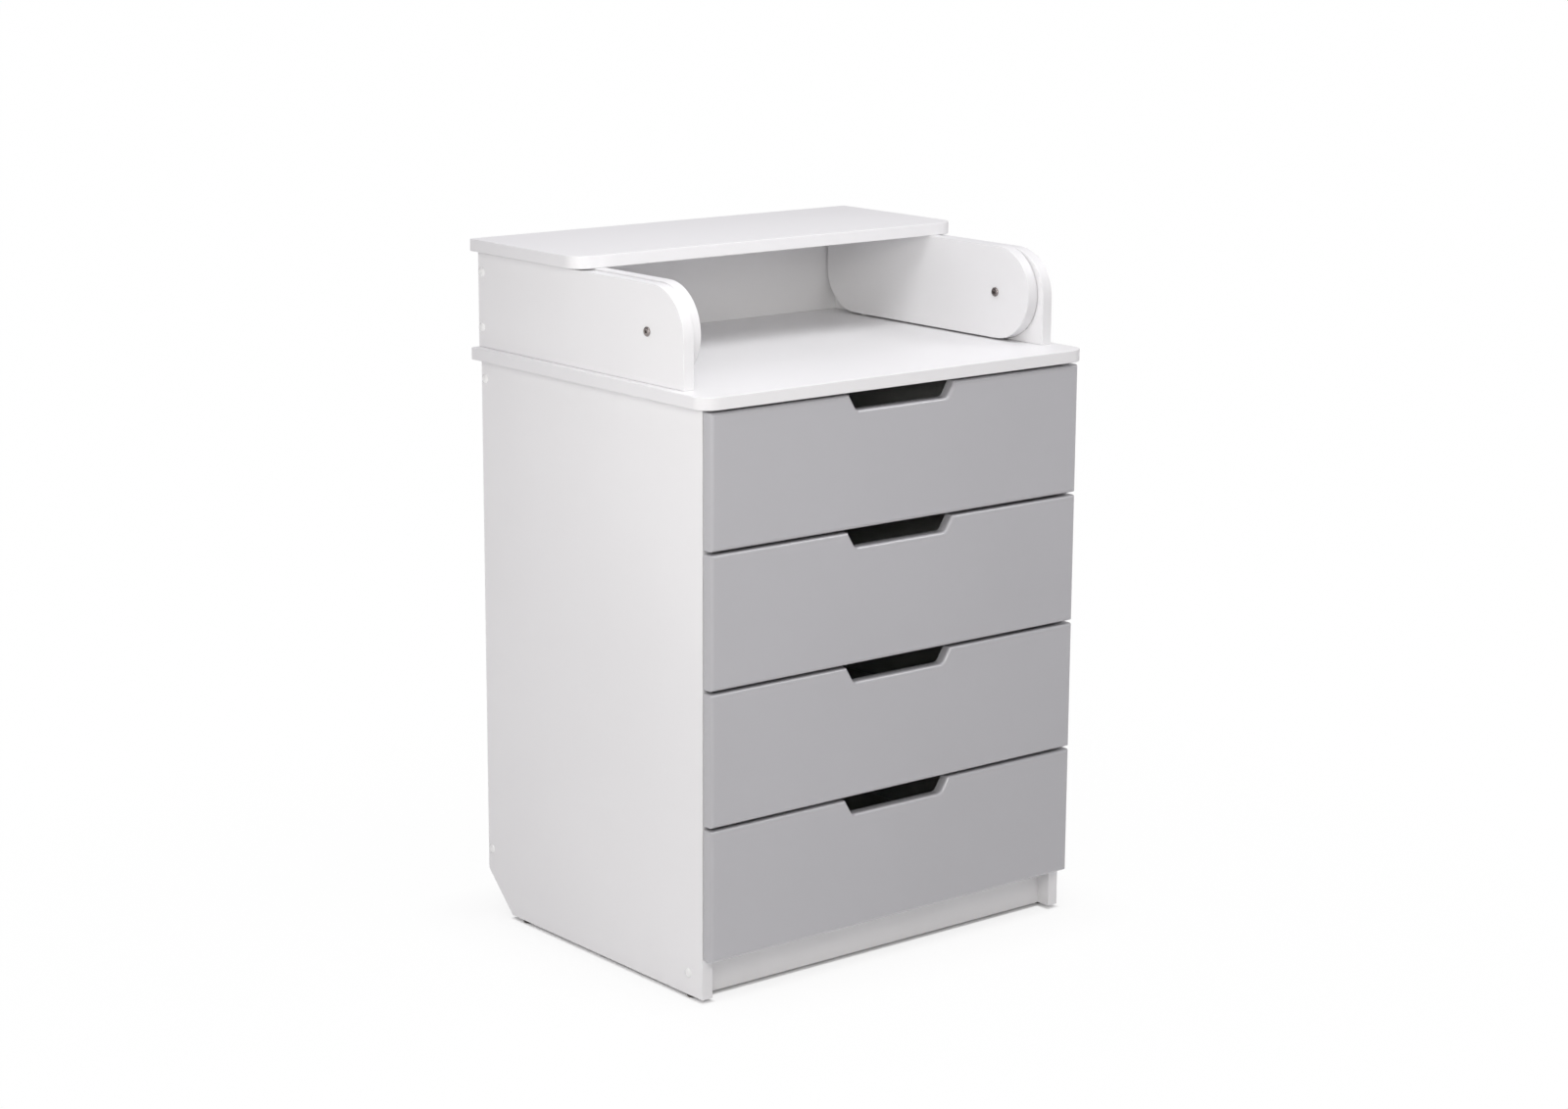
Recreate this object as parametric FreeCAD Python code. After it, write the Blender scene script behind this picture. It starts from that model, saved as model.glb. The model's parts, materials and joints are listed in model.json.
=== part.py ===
"""Changing dresser with four drawers and a flip-over top.

Millimetres. The origin is on the floor under the middle of the dresser, +X to the
right, -Y to the front, +Z up. Every piece is written to parts/NODE.step.
"""
import FreeCAD, Part
import math
import os
from FreeCAD import Vector

# ---------------------------------------------------------------- driving sizes
# Boards
board = 16.0
carcass_width = 600.0
side_depth = 465.0
foot_height = 52.0
glide_height = 4.0
glide_radius = 7.0
glide_inset = 80.0
front_glide_inset = 30.0
skirting_cut_depth = 54.0
skirting_cut_height = 52.0
top_side_overhang = 12.0
top_front_overhang = 20.0
top_rear_overhang = 5.0
top_corner_radius = 25.0
plinth_inset = 20.0
plinth_height = 58.0
rear_rail_height = 60.0
hardboard = 3.0
hardboard_inset = 2.0

# Superstructure and flip-over top
nook_height = 124.0
shelf_depth = 233.0
upper_front_inset = 36.0
upper_corner_radius = 62.0
shelf_clearance = 2.0
arm_lift = 2.5
arm_side_gap = 1.5
arm_sweep_gap = 0.5
arm_rear_gap = 3.0
arm_rear_radius = 58.0
fold_gap = 1.5
washer_play = 0.2
washer_radius = 9.0
sleeve_radius = 4.0
pivot_play = 0.08
sleeve_clearance = 0.3
pivot_head_radius = 6.0
pivot_head_height = 2.5
pivot_thread_radius = 3.0
pivot_thread_play = 0.05
pivot_screw_length = 26.0
sleeve_bite = 12.0
hex_key = 4.0
hex_depth = 1.8
bumper_radius = 5.0
bumper_inset = 15.0
bumper_seat_gap = 0.3

# Drawers
drawer_count = 4
front_height = 168.0
drawer_gap = 3.5
front_thickness = 16.0
front_reveal = 0.5
front_stand_off = 1.5
front_round = 5.0
notch_top_width = 172.0
notch_bottom_width = 148.0
notch_depth = 20.0
notch_corner_radius = 8.0
box_wall = 12.0
box_height = 110.0
box_lift = 18.0
box_rear_gap = 30.5
front_dado = 5.0
back_dado = 4.0
back_inset = 14.0
bottom_thickness = 3.0
bottom_lift = 10.0
bottom_groove = 6.0
bottom_play = 0.5
groove_play = 0.2

# Telescopic runners
runner_width = 12.7
runner_height = 45.0
runner_inset = 2.0
runner_end_inset = 16.5
runner_lift = 40.0
runner_sheet = 1.2
ball_race = 3.2
runner_gap = 0.4
outer_reach = 9.5
inner_flange = 6.7
member_step = 2.0

# Fasteners. Those that the boards hide are prisms with few sides, which keeps the model light.
hidden_sides = 8
confirmat_length = 50.0
confirmat_head_radius = 5.0
confirmat_head_depth = 3.0
confirmat_shank_radius = 3.5
cap_radius = 6.0
cap_height = 1.2
plinth_screw_lift = 29.0
top_rail_screw_drop = 25.0
bottom_rail_screw_lift = 28.0
upper_screw_heights = (25.5, 97.0)
cam_sides = 12
cam_radius = 7.5
cam_depth = 12.0
cam_edge_distance = 24.0
cam_insets = (70.0, 400.0)
cam_bolt_radius = 3.4
cam_bolt_end = 3.0
cam_bore_play = 0.1
dowel_radius = 4.0
dowel_bite = 14.0
dowel_end_gap = 1.0
dowel_insets = (150.0, 330.0)
arm_dowel_bite = 14.0
shelf_dowel_bite = 10.0
arm_dowel_insets = (40.0, 110.0, 180.0)
shelf_dowel_end_gap = 0.5

# ---------------------------------------------------------------- worked out
half_width = carcass_width / 2
inner_half = half_width - board
top_depth = top_front_overhang + side_depth + top_rear_overhang
top_front = -top_depth / 2
top_rear = top_depth / 2
side_front = top_front + top_front_overhang
side_rear = side_front + side_depth
side_bottom = glide_height
pitch = front_height + drawer_gap
side_top = side_bottom + foot_height + drawer_count * pitch
countertop_face = side_top + board
shelf_bottom = countertop_face + nook_height
rear_board_centre = side_rear - board / 2
plinth_front = side_front + plinth_inset
rail_bottom = side_bottom + skirting_cut_height + 1.0
upper_front = side_front + upper_front_inset
upper_top = shelf_bottom - shelf_clearance
upper_back_front = top_rear - board
shelf_front = top_rear - shelf_depth
pivot_y = (shelf_front + top_front - fold_gap) / 2
arm_bottom = countertop_face + arm_lift
pivot_z = (arm_bottom + shelf_bottom) / 2
arm_outer = inner_half - arm_side_gap
arm_inner = arm_outer - board
arm_front = pivot_y - (pivot_z - countertop_face - arm_sweep_gap)
arm_rear = upper_back_front - arm_rear_gap
front_back_face = side_front - front_stand_off
front_face = front_back_face - front_thickness
front_width = carcass_width - 2 * front_reveal
box_half = inner_half - runner_width
box_rear = side_rear - board - box_rear_gap
runner_front = side_front + runner_inset
runner_rear = box_rear - runner_end_inset
middle_web = runner_sheet + member_step
middle_reach = outer_reach + runner_sheet
middle_half_height = runner_height / 2 - runner_sheet - ball_race
inner_half_height = middle_half_height - runner_sheet - ball_race
race_lip = runner_sheet + ball_race - runner_gap

DOWN = Vector(0, 0, -1)
UP = Vector(0, 0, 1)
RIGHT = Vector(1, 0, 0)
LEFT = Vector(-1, 0, 0)


# ---------------------------------------------------------------- shape helpers
def block(x_limits, y_limits, z_limits):
    """A rectangular board between three pairs of limits."""
    size = [limits[1] - limits[0] for limits in (x_limits, y_limits, z_limits)]
    corner = Vector(x_limits[0], y_limits[0], z_limits[0])
    return Part.makeBox(size[0], size[1], size[2], corner)


def rounded_face(corners, to_space):
    """A flat face from corners (u, v, radius), each rounded by an arc."""
    arcs = []
    for index, (u, v, radius) in enumerate(corners):
        before = corners[index - 1]
        after = corners[(index + 1) % len(corners)]
        corner = Vector(u, v, 0)
        back = (Vector(before[0], before[1], 0) - corner).normalize()
        ahead = (Vector(after[0], after[1], 0) - corner).normalize()
        half_angle = back.getAngle(ahead) / 2
        reach = radius / math.tan(half_angle)
        middle = corner
        if radius > 0:
            middle = corner + (back + ahead).normalize() * (radius / math.sin(half_angle) - radius)
        arcs.append((corner + back * reach, middle, corner + ahead * reach, radius))
    edges = []
    for index, (start, middle, end, radius) in enumerate(arcs):
        if radius > 0:
            arc = Part.Arc(*[to_space(point.x, point.y) for point in (start, middle, end)])
            edges.append(arc.toShape())
        following = arcs[(index + 1) % len(arcs)][0]
        if following.distanceToPoint(end) > 1e-6:
            edges.append(Part.makeLine(to_space(end.x, end.y), to_space(following.x, following.y)))
    return Part.Face(Part.Wire(edges))


def across_x(corners, x_start, x_end):
    """Extrude a (y, z, radius) outline between two x values."""
    face = rounded_face(corners, lambda u, v: Vector(x_start, u, v))
    return face.extrude(Vector(x_end - x_start, 0, 0))


def across_y(corners, y_start, y_end):
    """Extrude an (x, z, radius) outline between two y values."""
    face = rounded_face(corners, lambda u, v: Vector(u, y_start, v))
    return face.extrude(Vector(0, y_end - y_start, 0))


def across_z(corners, z_start, z_end):
    """Extrude an (x, y, radius) outline between two z values."""
    face = rounded_face(corners, lambda u, v: Vector(u, v, z_start))
    return face.extrude(Vector(0, 0, z_end - z_start))


def turned(profile, base, direction):
    """Turn a profile of (distance along the axis, radius) points about its axis."""
    points = [Vector(radius, 0, along) for along, radius in profile]
    face = Part.Face(Part.makePolygon(points + points[:1]))
    solid = face.revolve(Vector(0, 0, 0), Vector(0, 0, 1), 360)
    solid.Placement = FreeCAD.Placement(base, FreeCAD.Rotation(UP, direction))
    return solid


def rod(radius, length, base, direction):
    """A plain cylinder from a base point along a direction."""
    return Part.makeCylinder(radius, length, base, direction)


def peg(radius, length, base, direction, sides=hidden_sides):
    """A prism of a few sides: a fastener, or its hole, that the boards hide."""
    points = []
    for step in range(sides + 1):
        angle = 2 * math.pi * (step + 0.5) / sides
        points.append(Vector(radius * math.cos(angle), radius * math.sin(angle), 0))
    prism = Part.Face(Part.makePolygon(points)).extrude(Vector(0, 0, length))
    prism.Placement = FreeCAD.Placement(base, FreeCAD.Rotation(UP, direction))
    return prism


def mirrored(shape):
    """The same piece on the other side of the dresser."""
    return shape.mirror(Vector(0, 0, 0), RIGHT)


def on_both_sides(shapes):
    """Pieces of the left side together with their mirrored partners."""
    return shapes + [mirrored(shape) for shape in shapes]


def drilled(shape, tools):
    """Cut a list of tools out of a shape."""
    return shape.cut(tools) if tools else shape


def save(node, shapes):
    """Write one piece, or a group of like pieces, as parts/NODE.step."""
    solids = []
    for shape in shapes:
        solids.extend(shape.Solids)
    for solid in solids:
        if not solid.isValid() or solid.Volume <= 0:
            raise ValueError("bad solid in " + node)
    whole = solids[0] if len(solids) == 1 else Part.makeCompound(solids)
    whole.exportStep("parts/" + node + ".step")


# ---------------------------------------------------------------- fasteners
def confirmat(place, direction):
    """One-piece connecting screw, or the stepped hole that it fills: head and shank."""
    head = peg(confirmat_head_radius, confirmat_head_depth, place, direction)
    return head.fuse(peg(confirmat_shank_radius, confirmat_length, place, direction))


def left_confirmat_places():
    """Where connecting screws enter the left outer faces."""
    outer = -half_width
    places = [
        Vector(outer, plinth_front + board / 2, side_bottom + plinth_screw_lift),
        Vector(outer, rear_board_centre, side_top - top_rail_screw_drop),
        Vector(outer, rear_board_centre, rail_bottom + bottom_rail_screw_lift),
    ]
    for height in upper_screw_heights:
        places.append(Vector(outer, upper_back_front + board / 2, countertop_face + height))
    return places


def confirmat_holes(side):
    """Hole tools for one side: +1 is the right, -1 the left."""
    holes = [confirmat(place, RIGHT) for place in left_confirmat_places()]
    return holes if side < 0 else [mirrored(hole) for hole in holes]


def make_confirmats():
    places = left_confirmat_places()
    screws = [confirmat(place, RIGHT) for place in places]
    caps = [rod(cap_radius, cap_height, place, LEFT) for place in places]
    save("confirmats", on_both_sides(screws))
    save("screw_caps", on_both_sides(caps))


def cam_heights():
    """Heights of the cam housings below and above the countertop."""
    return (side_top - cam_edge_distance, countertop_face + cam_edge_distance)


def board_centre_x():
    return -half_width + board / 2


def cam_pockets(side, height):
    """Round pockets for the cam housings at one height, from the inner face."""
    base_x = side * inner_half
    direction = RIGHT if side > 0 else LEFT
    pockets = []
    for inset in cam_insets:
        base = Vector(base_x, side_front + inset, height)
        pockets.append(peg(cam_radius, cam_depth, base, direction, cam_sides))
    return pockets


def joint_bores(side, bottom, top):
    """Upright bores for the cam bolts in the middle of the board."""
    bores = []
    for inset in cam_insets:
        base = Vector(side * -board_centre_x(), side_front + inset, bottom)
        bores.append(peg(cam_bolt_radius + cam_bore_play, top - bottom, base, UP))
    return bores


def dowel_bores(side, bottom, top):
    """Upright bores for the dowels in the middle of the board."""
    bores = []
    for inset in dowel_insets:
        base = Vector(side * -board_centre_x(), side_front + inset, bottom)
        bores.append(peg(dowel_radius, top - bottom, base, UP))
    return bores


def make_countertop_joints():
    """Cam bolts, cam housings and dowels that tie both sides to the countertop."""
    bolts = []
    cams = []
    dowels = []
    low, high = cam_heights()
    for inset in cam_insets:
        y = side_front + inset
        start = Vector(board_centre_x(), y, low - cam_bolt_end)
        length = high - low + 2 * cam_bolt_end
        bolts.append(peg(cam_bolt_radius, length, start, UP))
        bore = peg(cam_bolt_radius + cam_bore_play, length + 2 * cam_bore_play,
                   start + DOWN * cam_bore_play, UP)
        for height in (low, high):
            disc = peg(cam_radius, cam_depth, Vector(-inner_half, y, height), LEFT, cam_sides)
            cams.append(disc.cut(bore))
    for inset in dowel_insets:
        base = Vector(board_centre_x(), side_front + inset, side_top - dowel_bite)
        dowels.append(peg(dowel_radius, board + 2 * dowel_bite, base, UP))
    save("cam_bolts", on_both_sides(bolts))
    save("cams", on_both_sides(cams))
    save("top_dowels", on_both_sides(dowels))


# ---------------------------------------------------------------- carcass
def drawer_bottom(number):
    """Lower edge of a drawer front; number 1 is the top drawer."""
    return side_top - number * pitch


def runner_height_of(number):
    """Middle height of a drawer's runners."""
    return drawer_bottom(number) + box_lift + runner_lift


def glide_places():
    """Where the glides sit under the left side panel."""
    x = board_centre_x()
    return (Vector(x, side_front + front_glide_inset, side_bottom),
            Vector(x, side_rear - glide_inset, side_bottom))


def make_side(name, side):
    """A side panel down to the floor, its rear-bottom corner cut off for the skirting board."""
    outline = [
        (side_front, side_bottom, 0),
        (side_rear - skirting_cut_depth, side_bottom, 0),
        (side_rear, side_bottom + skirting_cut_height, 0),
        (side_rear, side_top, 0),
        (side_front, side_top, 0),
    ]
    panel = across_x(outline, side * inner_half, side * half_width)
    tools = confirmat_holes(side) + cam_pockets(side, cam_heights()[0])
    tools += joint_bores(side, cam_heights()[0], side_top)
    tools += dowel_bores(side, side_top - dowel_bite - dowel_end_gap, side_top)
    save(name, [drilled(panel, tools)])


def make_glides():
    """Round plastic glides under the side panels."""
    glides = [rod(glide_radius, glide_height, place, DOWN) for place in glide_places()]
    save("glides", on_both_sides(glides))


def slab_outline(front, rear):
    """Plan of the countertop or the shelf: rounded front corners, square at the wall."""
    half = half_width + top_side_overhang
    return [
        (-half, front, top_corner_radius),
        (half, front, top_corner_radius),
        (half, rear, 0),
        (-half, rear, 0),
    ]


def make_countertop():
    slab = across_z(slab_outline(top_front, top_rear), side_top, countertop_face)
    tools = []
    for side in (-1, 1):
        tools += joint_bores(side, side_top, countertop_face)
        tools += dowel_bores(side, side_top, countertop_face)
    save("countertop", [drilled(slab, tools)])


def make_cross_boards():
    """Plinth, rear rails, hardboard back and the back of the superstructure."""
    holes = confirmat_holes(-1) + confirmat_holes(1)
    between = (-inner_half, inner_half)
    rear = (side_rear - board, side_rear)
    plinth = block(between, (plinth_front, plinth_front + board),
                   (side_bottom, side_bottom + plinth_height))
    top_rail = block(between, rear, (side_top - rear_rail_height, side_top))
    bottom_rail = block(between, rear, (rail_bottom, rail_bottom + rear_rail_height))
    upper_back = block(between, (upper_back_front, top_rear), (countertop_face, upper_top))
    save("plinth", [drilled(plinth, holes)])
    save("rear_rail_top", [drilled(top_rail, holes)])
    save("rear_rail_bottom", [drilled(bottom_rail, holes)])
    save("upper_back", [drilled(upper_back, holes)])
    back_half = half_width - hardboard_inset
    save("back_panel", [block((-back_half, back_half), (side_rear, side_rear + hardboard),
                              (rail_bottom, side_top))])


# ---------------------------------------------------------------- superstructure
def make_upper_side(name, side):
    """Side of the superstructure with its big rounded top-front corner."""
    outline = [
        (upper_front, countertop_face, 0),
        (top_rear, countertop_face, 0),
        (top_rear, upper_top, 0),
        (upper_front, upper_top, upper_corner_radius),
    ]
    panel = across_x(outline, side * inner_half, side * half_width)
    tools = confirmat_holes(side) + cam_pockets(side, cam_heights()[1])
    tools += joint_bores(side, countertop_face, cam_heights()[1])
    tools += dowel_bores(side, countertop_face, countertop_face + dowel_bite + dowel_end_gap)
    tools.append(pivot_bore(side, sleeve_radius + pivot_play, inner_half, half_width))
    save(name, [drilled(panel, tools)])


def pivot_bore(side, radius, inner, outer):
    """A bore on the turning axis of the flip-over top between two distances from the middle."""
    direction = RIGHT if side > 0 else LEFT
    return rod(radius, outer - inner, Vector(side * inner, pivot_y, pivot_z), direction)


def hex_socket(base, direction):
    """The hexagonal key recess of a bolt head or sleeve head."""
    corner_radius = hex_key / math.sqrt(3)
    points = []
    for step in range(7):
        angle = math.radians(60 * step)
        points.append(Vector(corner_radius * math.cos(angle), corner_radius * math.sin(angle), 0))
    socket = Part.Face(Part.makePolygon(points)).extrude(Vector(0, 0, hex_depth))
    socket.Placement = FreeCAD.Placement(base, FreeCAD.Rotation(UP, direction))
    return socket


def make_pivots():
    """Bolt from outside, sleeve from inside and the washer between side and arm."""
    bevel = pivot_head_height / 4
    head_base = Vector(-half_width, pivot_y, pivot_z)
    screw_profile = [
        (-pivot_head_height, 0),
        (-pivot_head_height, pivot_head_radius - bevel),
        (-pivot_head_height + bevel, pivot_head_radius),
        (0, pivot_head_radius),
        (0, pivot_thread_radius),
        (pivot_screw_length, pivot_thread_radius),
        (pivot_screw_length, 0),
    ]
    screw = turned(screw_profile, head_base, RIGHT)
    screw = screw.cut(hex_socket(head_base + LEFT * pivot_head_height, RIGHT))

    sleeve_base = Vector(-arm_inner + sleeve_clearance, pivot_y, pivot_z)
    sleeve_length = sleeve_clearance + board + arm_side_gap + sleeve_bite
    screw_end = pivot_screw_length - half_width
    thread_start = sleeve_base.x - screw_end - 1
    sleeve_profile = [
        (-pivot_head_height, 0),
        (-pivot_head_height, pivot_head_radius - bevel),
        (-pivot_head_height + bevel, pivot_head_radius),
        (0, pivot_head_radius),
        (0, sleeve_radius),
        (sleeve_length, sleeve_radius),
        (sleeve_length, pivot_thread_radius + pivot_thread_play),
        (thread_start, pivot_thread_radius + pivot_thread_play),
        (thread_start, 0),
    ]
    sleeve = turned(sleeve_profile, sleeve_base, LEFT)
    sleeve = sleeve.cut(hex_socket(sleeve_base + RIGHT * pivot_head_height, LEFT))

    thickness = arm_side_gap - washer_play
    washer = rod(washer_radius, thickness, Vector(-inner_half, pivot_y, pivot_z), RIGHT)
    washer = washer.cut(pivot_bore(-1, sleeve_radius + pivot_play, arm_inner, half_width))
    save("pivot_bolts", on_both_sides([screw]))
    save("pivot_sleeves", on_both_sides([sleeve]))
    save("pivot_washers", on_both_sides([washer]))


# ---------------------------------------------------------------- flip-over top
def arm_dowel_places(side):
    """Foot of each dowel bore in an arm's upper edge."""
    x = side * (arm_inner + arm_outer) / 2
    return [Vector(x, shelf_front + inset, shelf_bottom) for inset in arm_dowel_insets]


def make_arm(name, side):
    """An arm: half-round front end, rounded rear-bottom corner, turns on the pivot sleeve."""
    end_radius = (shelf_bottom - arm_bottom) / 2
    outline = [
        (arm_front, arm_bottom, end_radius),
        (arm_rear, arm_bottom, arm_rear_radius),
        (arm_rear, shelf_bottom, 0),
        (arm_front, shelf_bottom, end_radius),
    ]
    arm = across_x(outline, side * arm_inner, side * arm_outer)
    tools = [pivot_bore(side, sleeve_radius + pivot_play, arm_inner, arm_outer)]
    for place in arm_dowel_places(side):
        tools.append(peg(dowel_radius, arm_dowel_bite + dowel_end_gap, place, DOWN))
    save(name, [drilled(arm, tools)])


def make_shelf():
    slab = across_z(slab_outline(shelf_front, top_rear), shelf_bottom, shelf_bottom + board)
    tools = []
    for side in (-1, 1):
        for place in arm_dowel_places(side):
            tools.append(peg(dowel_radius, shelf_dowel_bite + shelf_dowel_end_gap, place, UP))
    save("shelf", [drilled(slab, tools)])


def make_arm_fittings():
    """Dowels between arms and shelf, and the bumpers that carry the arms at rest."""
    dowels = []
    for place in arm_dowel_places(-1):
        dowels.append(peg(dowel_radius, arm_dowel_bite + shelf_dowel_bite,
                          place + DOWN * arm_dowel_bite, UP))
    straight_end = arm_rear - arm_rear_radius
    base = Vector(-(arm_inner + arm_outer) / 2, straight_end - bumper_inset, arm_bottom)
    bumper = rod(bumper_radius, arm_lift - bumper_seat_gap, base, DOWN)
    save("arm_dowels", on_both_sides(dowels))
    save("bumpers", on_both_sides([bumper]))


# ---------------------------------------------------------------- runners
def channel(web, reach, half_height, lip, y_limits, height):
    """A folded steel channel on the left side of the dresser.

    web and reach are distances of the web's outside and the flange ends from the side
    panel; lip is the depth of the turned-in lips from the outside, or 0 for none.
    """
    inward = 1 if reach > web else -1
    thick = inward * runner_sheet
    upper = []
    if lip > 0:
        upper += [
            (reach, half_height - lip, 0),
            (reach, half_height, 0),
        ]
    else:
        upper += [
            (reach, half_height - runner_sheet, 0),
            (reach, half_height, 0),
        ]
    upper.append((web, half_height, 0))
    inner = [(web + thick, half_height - runner_sheet, 0)]
    if lip > 0:
        inner += [
            (reach - thick, half_height - runner_sheet, 0),
            (reach - thick, half_height - lip, 0),
        ]
    lower = [(x, -z, radius) for x, z, radius in reversed(upper)]
    inner_lower = [(x, -z, radius) for x, z, radius in reversed(inner)]
    outline = upper + lower + inner_lower + inner
    placed = [(-inner_half + x, height + z, radius) for x, z, radius in outline]
    return across_y(placed, y_limits[0], y_limits[1])


def make_cabinet_runners():
    """Outer members, fixed to the side panels."""
    members = []
    for number in range(1, drawer_count + 1):
        members.append(channel(0, outer_reach, runner_height / 2, race_lip,
                               (runner_front, runner_rear), runner_height_of(number)))
    save("cabinet_runners_left", members)
    save("cabinet_runners_right", [mirrored(member) for member in members])


def make_middle_members(number):
    """The pair of middle members that run between the outer and the inner ones."""
    member = channel(middle_web, middle_reach, middle_half_height, race_lip,
                     (runner_front, runner_rear), runner_height_of(number))
    save("runner_middle_%d" % number, on_both_sides([member]))


# ---------------------------------------------------------------- drawers
def make_front(number):
    """A drawer front with a finger notch; all its front edges are rounded over."""
    low = drawer_bottom(number)
    high = low + front_height
    half = front_width / 2
    top = notch_top_width / 2
    bottom = notch_bottom_width / 2
    outline = [
        (-half, low, 0),
        (half, low, 0),
        (half, high, 0),
        (top, high, 0),
        (bottom, high - notch_depth, notch_corner_radius),
        (-bottom, high - notch_depth, notch_corner_radius),
        (-top, high, 0),
        (-half, high, 0),
    ]
    panel = across_y(outline, front_face, front_back_face)
    rim = []
    for edge in panel.Edges:
        if all(abs(vertex.Y - front_face) < 1e-6 for vertex in edge.Vertexes):
            rim.append(edge)
    panel = panel.makeFillet(front_round, rim)
    box_low = low + box_lift
    groove_low = box_low + bottom_lift
    tools = []
    for side in (-1, 1):
        limits = sorted((side * box_half, side * (box_half - box_wall)))
        tools.append(block(limits, (front_back_face - front_dado, front_back_face),
                           (box_low, box_low + box_height)))
    groove_half = box_half - box_wall + bottom_groove
    tools.append(block((-groove_half, groove_half),
                       (front_back_face - front_dado, front_back_face),
                       (groove_low, groove_low + bottom_thickness + groove_play)))
    save("drawer_%d_front" % number, [drilled(panel, tools)])


def make_box(number):
    """Sides, back and bottom of a drawer box."""
    low = drawer_bottom(number) + box_lift
    high = low + box_height
    groove_low = low + bottom_lift
    groove_high = groove_low + bottom_thickness + groove_play
    side_start = front_back_face - front_dado
    inside = box_half - box_wall
    back_front = box_rear - back_inset - box_wall
    wall = block((-box_half, -inside), (side_start, box_rear), (low, high))
    tools = [
        block((-inside - bottom_groove, -inside), (side_start, box_rear), (groove_low, groove_high)),
        block((-inside - back_dado, -inside), (back_front, back_front + box_wall),
              (groove_high, high)),
    ]
    wall = drilled(wall, tools)
    save("drawer_%d_side_left" % number, [wall])
    save("drawer_%d_side_right" % number, [mirrored(wall)])
    save("drawer_%d_back" % number, [
        block((-inside - back_dado, inside + back_dado), (back_front, back_front + box_wall),
              (groove_high, high)),
    ])
    bottom_half = inside + bottom_groove - bottom_play
    save("drawer_%d_bottom" % number, [
        block((-bottom_half, bottom_half), (side_start + bottom_play, box_rear),
              (groove_low, groove_low + bottom_thickness)),
    ])


def make_drawer_runners(number):
    """Inner members, fixed to the drawer box."""
    member = channel(runner_width, runner_width - inner_flange, inner_half_height, 0,
                     (runner_front, runner_rear), runner_height_of(number))
    save("drawer_%d_runners" % number, on_both_sides([member]))


def main():
    os.makedirs("parts", exist_ok=True)
    make_side("side_left", -1)
    make_side("side_right", 1)
    make_countertop()
    make_cross_boards()
    make_upper_side("upper_side_left", -1)
    make_upper_side("upper_side_right", 1)
    make_glides()
    make_confirmats()
    make_countertop_joints()
    make_pivots()
    make_shelf()
    make_arm("arm_left", -1)
    make_arm("arm_right", 1)
    make_arm_fittings()
    make_cabinet_runners()
    for number in range(1, drawer_count + 1):
        make_middle_members(number)
        make_front(number)
        make_box(number)
        make_drawer_runners(number)


main()
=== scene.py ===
# %% [markdown]
# # A changing dresser with a flip-over top
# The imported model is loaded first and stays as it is: it says where every board, runner and bolt
# sits. Each visible board is then made again as a fine surface with softened edges, worked out
# with numpy, and finished with node materials. Everything is in metres, +Z is up, -Y is the front.

# %% Load the fixed frame
import bpy
import json
import math
import numpy as np
from mathutils import Matrix, Vector


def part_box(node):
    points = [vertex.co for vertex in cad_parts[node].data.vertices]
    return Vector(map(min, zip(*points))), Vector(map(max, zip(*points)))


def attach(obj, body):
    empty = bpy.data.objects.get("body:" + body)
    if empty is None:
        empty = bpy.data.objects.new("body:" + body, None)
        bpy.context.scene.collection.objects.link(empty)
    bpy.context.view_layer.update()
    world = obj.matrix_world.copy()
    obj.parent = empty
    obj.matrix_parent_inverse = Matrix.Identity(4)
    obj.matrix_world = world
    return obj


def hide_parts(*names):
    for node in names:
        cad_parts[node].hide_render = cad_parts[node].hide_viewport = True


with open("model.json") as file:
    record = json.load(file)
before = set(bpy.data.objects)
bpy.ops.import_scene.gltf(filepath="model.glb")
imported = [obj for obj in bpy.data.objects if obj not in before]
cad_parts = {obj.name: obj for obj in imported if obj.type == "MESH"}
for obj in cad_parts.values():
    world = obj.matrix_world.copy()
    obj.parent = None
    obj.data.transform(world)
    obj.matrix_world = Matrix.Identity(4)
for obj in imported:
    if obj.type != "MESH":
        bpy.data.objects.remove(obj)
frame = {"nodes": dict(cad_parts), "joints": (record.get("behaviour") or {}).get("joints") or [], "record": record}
bpy.context.view_layer.update()

# %% [markdown]
# ## Small helpers for node trees
# A finish is a network of nodes, and most of its lines do the same few things: make a node, then
# give each input a link or a plain value. They could be written out every time, but with a helper
# for each kind of node a finish reads as a recipe.

# %% Node helpers
def feed(tree, socket, value):
    """Gives a socket its value: a link from another node's output, or a plain number or colour."""
    if isinstance(value, bpy.types.NodeSocket):
        tree.links.new(value, socket)
    else:
        socket.default_value = value


def feed_all(tree, sockets, values):
    for socket, value in zip(sockets, values):
        feed(tree, socket, value)


def noise(tree, vector, scale, detail, roughness=0.5):
    node = tree.nodes.new("ShaderNodeTexNoise")
    sockets = [node.inputs[label] for label in ("Vector", "Scale", "Detail", "Roughness")]
    feed_all(tree, sockets, (vector, scale, detail, roughness))
    return node.outputs["Fac"]


def mix_colour(tree, factor, first, second):
    node = tree.nodes.new("ShaderNodeMix")
    node.data_type = "RGBA"
    feed_all(tree, [s for s in node.inputs if s.enabled], (factor, first, second))
    return next(s for s in node.outputs if s.enabled)


def calculate(tree, operation, *values):
    node = tree.nodes.new("ShaderNodeMath")
    node.operation = operation
    feed_all(tree, node.inputs, values)
    return node.outputs[0]


def spread(tree, value, low, high, new_low, new_high):
    """Carries the stretch low to high over to new_low to new_high, and holds it at its ends."""
    node = tree.nodes.new("ShaderNodeMapRange")
    feed_all(tree, node.inputs, (value, low, high, new_low, new_high))
    return node.outputs[0]


# %% [markdown]
# ## Helpers for node groups
# An effect that several finishes use belongs in a node group: it is built once, and each finish
# places it with its own values. Copying the nodes into every finish would look the same, but a
# change would then have to be made in each of them.

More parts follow.
